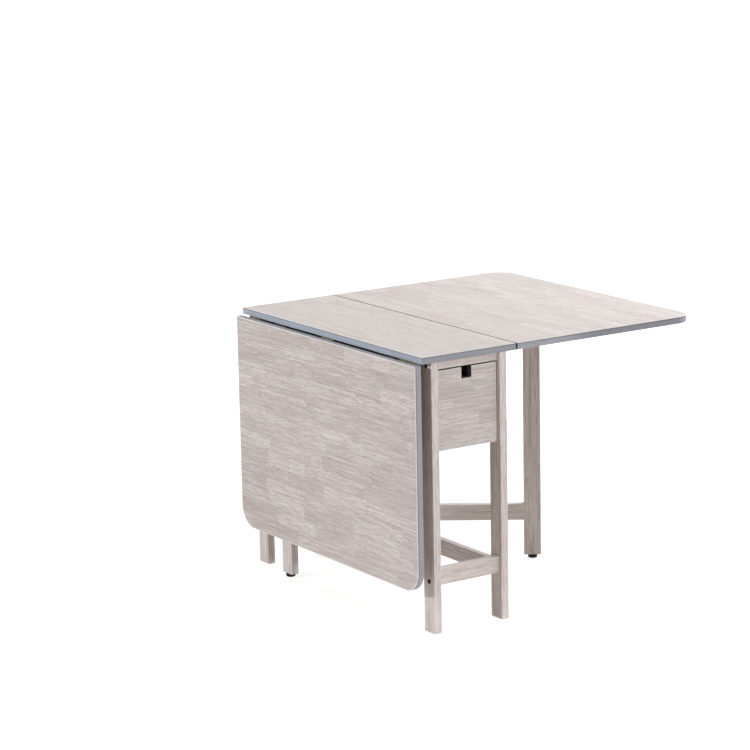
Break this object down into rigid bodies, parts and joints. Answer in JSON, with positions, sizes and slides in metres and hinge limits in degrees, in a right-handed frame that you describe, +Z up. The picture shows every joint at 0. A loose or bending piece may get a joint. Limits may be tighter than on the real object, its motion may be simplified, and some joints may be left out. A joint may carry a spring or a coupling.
{
  "type": "drop-leaf dining table",
  "caption": "Gateleg dining table in pale whitewashed wood: narrow fixed top on a slim frame, hinged leaves that swing gates carry, and a notched end drawer.",
  "frame": {"origin": "on the floor under the middle of the whole table, with one leaf raised and one hanging", "axes": "+X across the table towards the raised leaf, +Y along the hinge lines towards the far end, away from the drawer, +Z up"},
  "size_m": [0.924, 0.88, 0.74],
  "materials": {
    "top": "satin",
    "panel": "satin",
    "frame": "satin",
    "carcass": "matte",
    "edging": "satin",
    "hinge": "dull plated",
    "steel": "zinc plated",
    "glide": "matte"
  },
  "bodies": {
    "frame": {"centre_board": "top", "centre_edging": "edging", "near_left_leg": "frame", "near_right_leg": "frame", "far_left_leg": "frame", "far_right_leg": "frame", "near_top_rail": "frame", "drawer_rest_rail": "frame", "far_end_panel": "panel", "left_side_panel": "panel", "right_side_panel": "panel", "near_end_stretcher": "frame", "far_end_stretcher": "frame", "left_long_stretcher": "frame", "right_long_stretcher": "frame", "left_drawer_runner": "carcass", "right_drawer_runner": "carcass", "leg_bolts": "steel", "barrel_nuts": "steel", "left_centre_hinge_plates": "hinge", "right_centre_hinge_plates": "hinge", "left_hinge_pins": "steel", "right_hinge_pins": "steel", "left_gate_fixed_plates": "hinge", "right_gate_fixed_plates": "hinge", "left_gate_pins": "steel", "right_gate_pins": "steel"},
    "left_leaf": {"left_leaf_board": "top", "left_leaf_edging": "edging", "left_leaf_hinge_plates": "hinge"},
    "right_leaf": {"right_leaf_board": "top", "right_leaf_edging": "edging", "right_leaf_hinge_plates": "hinge"},
    "left_gate": {"left_gate_leg": "frame", "left_gate_stile": "frame", "left_gate_lower_rail": "frame", "left_gate_upper_rail": "frame", "left_gate_glide": "glide", "left_gate_hinge_plates": "hinge", "left_gate_bolts": "steel", "left_gate_nuts": "steel"},
    "right_gate": {"right_gate_leg": "frame", "right_gate_stile": "frame", "right_gate_lower_rail": "frame", "right_gate_upper_rail": "frame", "right_gate_glide": "glide", "right_gate_hinge_plates": "hinge", "right_gate_bolts": "steel", "right_gate_nuts": "steel"},
    "drawer": {"drawer_front": "panel", "drawer_left_side": "carcass", "drawer_right_side": "carcass", "drawer_back": "carcass", "drawer_bottom": "carcass"}
  },
  "joints": [
    {"name": "left_leaf_hinge", "type": "hinge", "parent": "frame", "child": "left_leaf", "pos_m": [-0.4416, 0, 0.7196], "axis": [0, 1, 0], "range_deg": [0, 95]},
    {"name": "right_leaf_hinge", "type": "hinge", "parent": "frame", "child": "right_leaf", "pos_m": [-0.1412, 0, 0.7196], "axis": [0, -1, 0], "range_deg": [0, 5]},
    {"name": "left_gate_hinge", "type": "hinge", "parent": "frame", "child": "left_gate", "pos_m": [-0.3864, -0.245, 0.4], "axis": [0, 0, 1], "range_deg": [0, 0.8]},
    {"name": "right_gate_hinge", "type": "hinge", "parent": "frame", "child": "right_gate", "pos_m": [-0.1964, 0.245, 0.4], "axis": [0, 0, 1], "range_deg": [-54.4, 35.6]},
    {"name": "drawer_slide", "type": "slide", "parent": "frame", "child": "drawer", "axis": [0, -1, 0], "range_m": [0, 0.3]}
  ]
}
